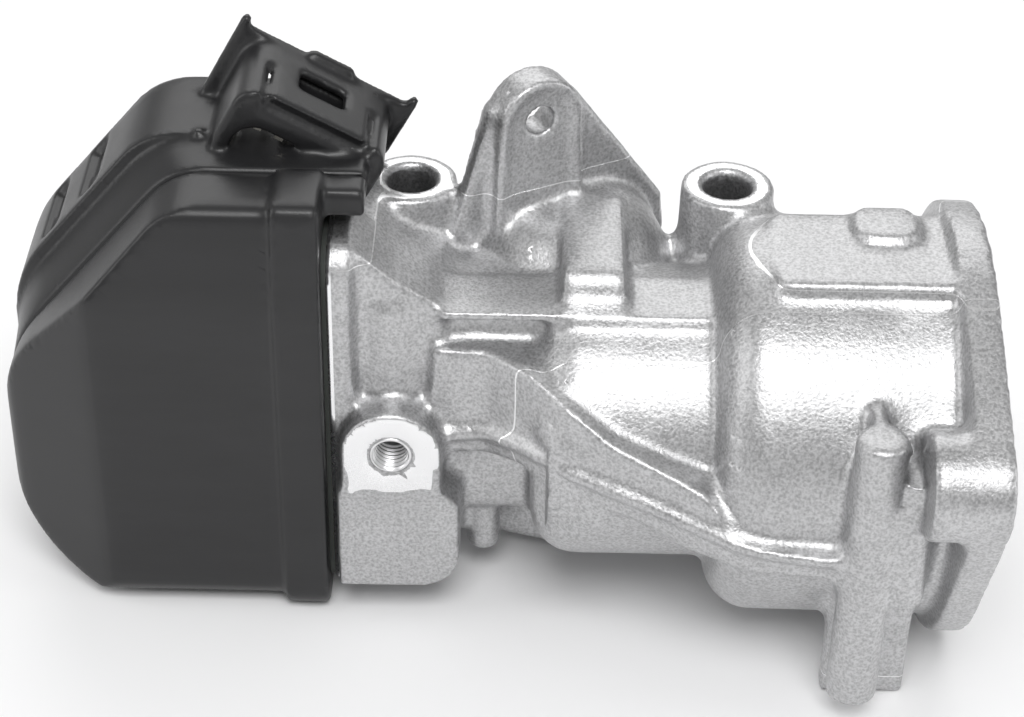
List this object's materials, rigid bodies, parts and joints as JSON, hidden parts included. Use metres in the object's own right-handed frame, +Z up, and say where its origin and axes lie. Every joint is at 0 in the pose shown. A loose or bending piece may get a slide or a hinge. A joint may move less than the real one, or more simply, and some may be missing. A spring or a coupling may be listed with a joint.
{
  "type": "egr valve",
  "caption": "Exhaust gas recirculation valve: die-cast body with flanged gas inlet, poppet and black actuator housing with a geared motor.",
  "frame": {"origin": "centre of the gas inlet flange's face", "axes": "+X out of the inlet flange along the valve stem, +Z up, +Y away from the actuator's cover side"},
  "size_m": [0.1643, 0.094, 0.0979],
  "materials": {
    "cast_aluminium": "satin",
    "black_plastic": "satin",
    "steel": "satin",
    "bronze": "satin",
    "tinned_brass": "satin",
    "rubber": "matte",
    "gasket": "matte",
    "natural_plastic": "satin",
    "ferrite": "matte",
    "circuit_board": "gloss"
  },
  "bodies": {
    "root": {"valve_body": "cast_aluminium", "valve_seat": "steel", "stem_guide_bush": "bronze", "stem_seal": "rubber", "joint_gasket": "gasket", "gear_cover": "black_plastic", "cover_seal": "rubber", "motor_housing": "black_plastic", "connector_pins": "tinned_brass", "motor_can": "steel", "motor_magnets": "ferrite", "motor_end_plate": "natural_plastic", "idler_axle": "steel", "output_bush_front": "bronze", "output_bush_rear": "bronze", "motor_bush": "bronze", "sensor_board": "circuit_board", "hall_sensor": "black_plastic", "spring_seat": "steel", "return_spring": "steel", "housing_screws": "steel"},
    "output": {"output_gear": "natural_plastic", "output_shaft": "steel", "crank_pin": "steel", "sensor_magnet": "ferrite"},
    "valve": {"valve_poppet": "steel", "valve_stem": "steel", "stem_yoke": "steel", "spring_retainer": "steel"},
    "idler": {"idler_gear": "natural_plastic"},
    "rotor": {"motor_shaft": "steel", "armature": "steel", "commutator": "tinned_brass", "motor_pinion": "steel"}
  },
  "joints": [
    {"name": "crank_turn", "type": "hinge", "parent": "root", "child": "output", "pos_m": [-0.134, 0, -0.0065], "axis": [0, 1, 0], "range_deg": [0, 60], "stiffness_Nm_per_rad": 0.1, "springref_deg": -22.92},
    {"name": "stem_slide", "type": "slide", "parent": "root", "child": "valve", "axis": [1, 0, 0], "range_m": [0, 0.008], "deforming": ["return_spring"]},
    {"name": "idler_turn", "type": "hinge", "parent": "root", "child": "idler", "pos_m": [-0.13328, 0, 0.01425], "axis": [0, 1, 0], "range_deg": [-216.5, 0]},
    {"name": "rotor_turn", "type": "hinge", "parent": "root", "child": "rotor", "pos_m": [-0.13087, 0, 0.0279], "axis": [0, 1, 0], "range_deg": [0, 778.1]}
  ],
  "couplings": [
    {"joint": "stem_slide", "follows": "crank_turn", "m_per_rad": 0.0076394},
    {"joint": "idler_turn", "follows": "crank_turn", "ratio": -3.6},
    {"joint": "rotor_turn", "follows": "crank_turn", "ratio": 12.96}
  ]
}
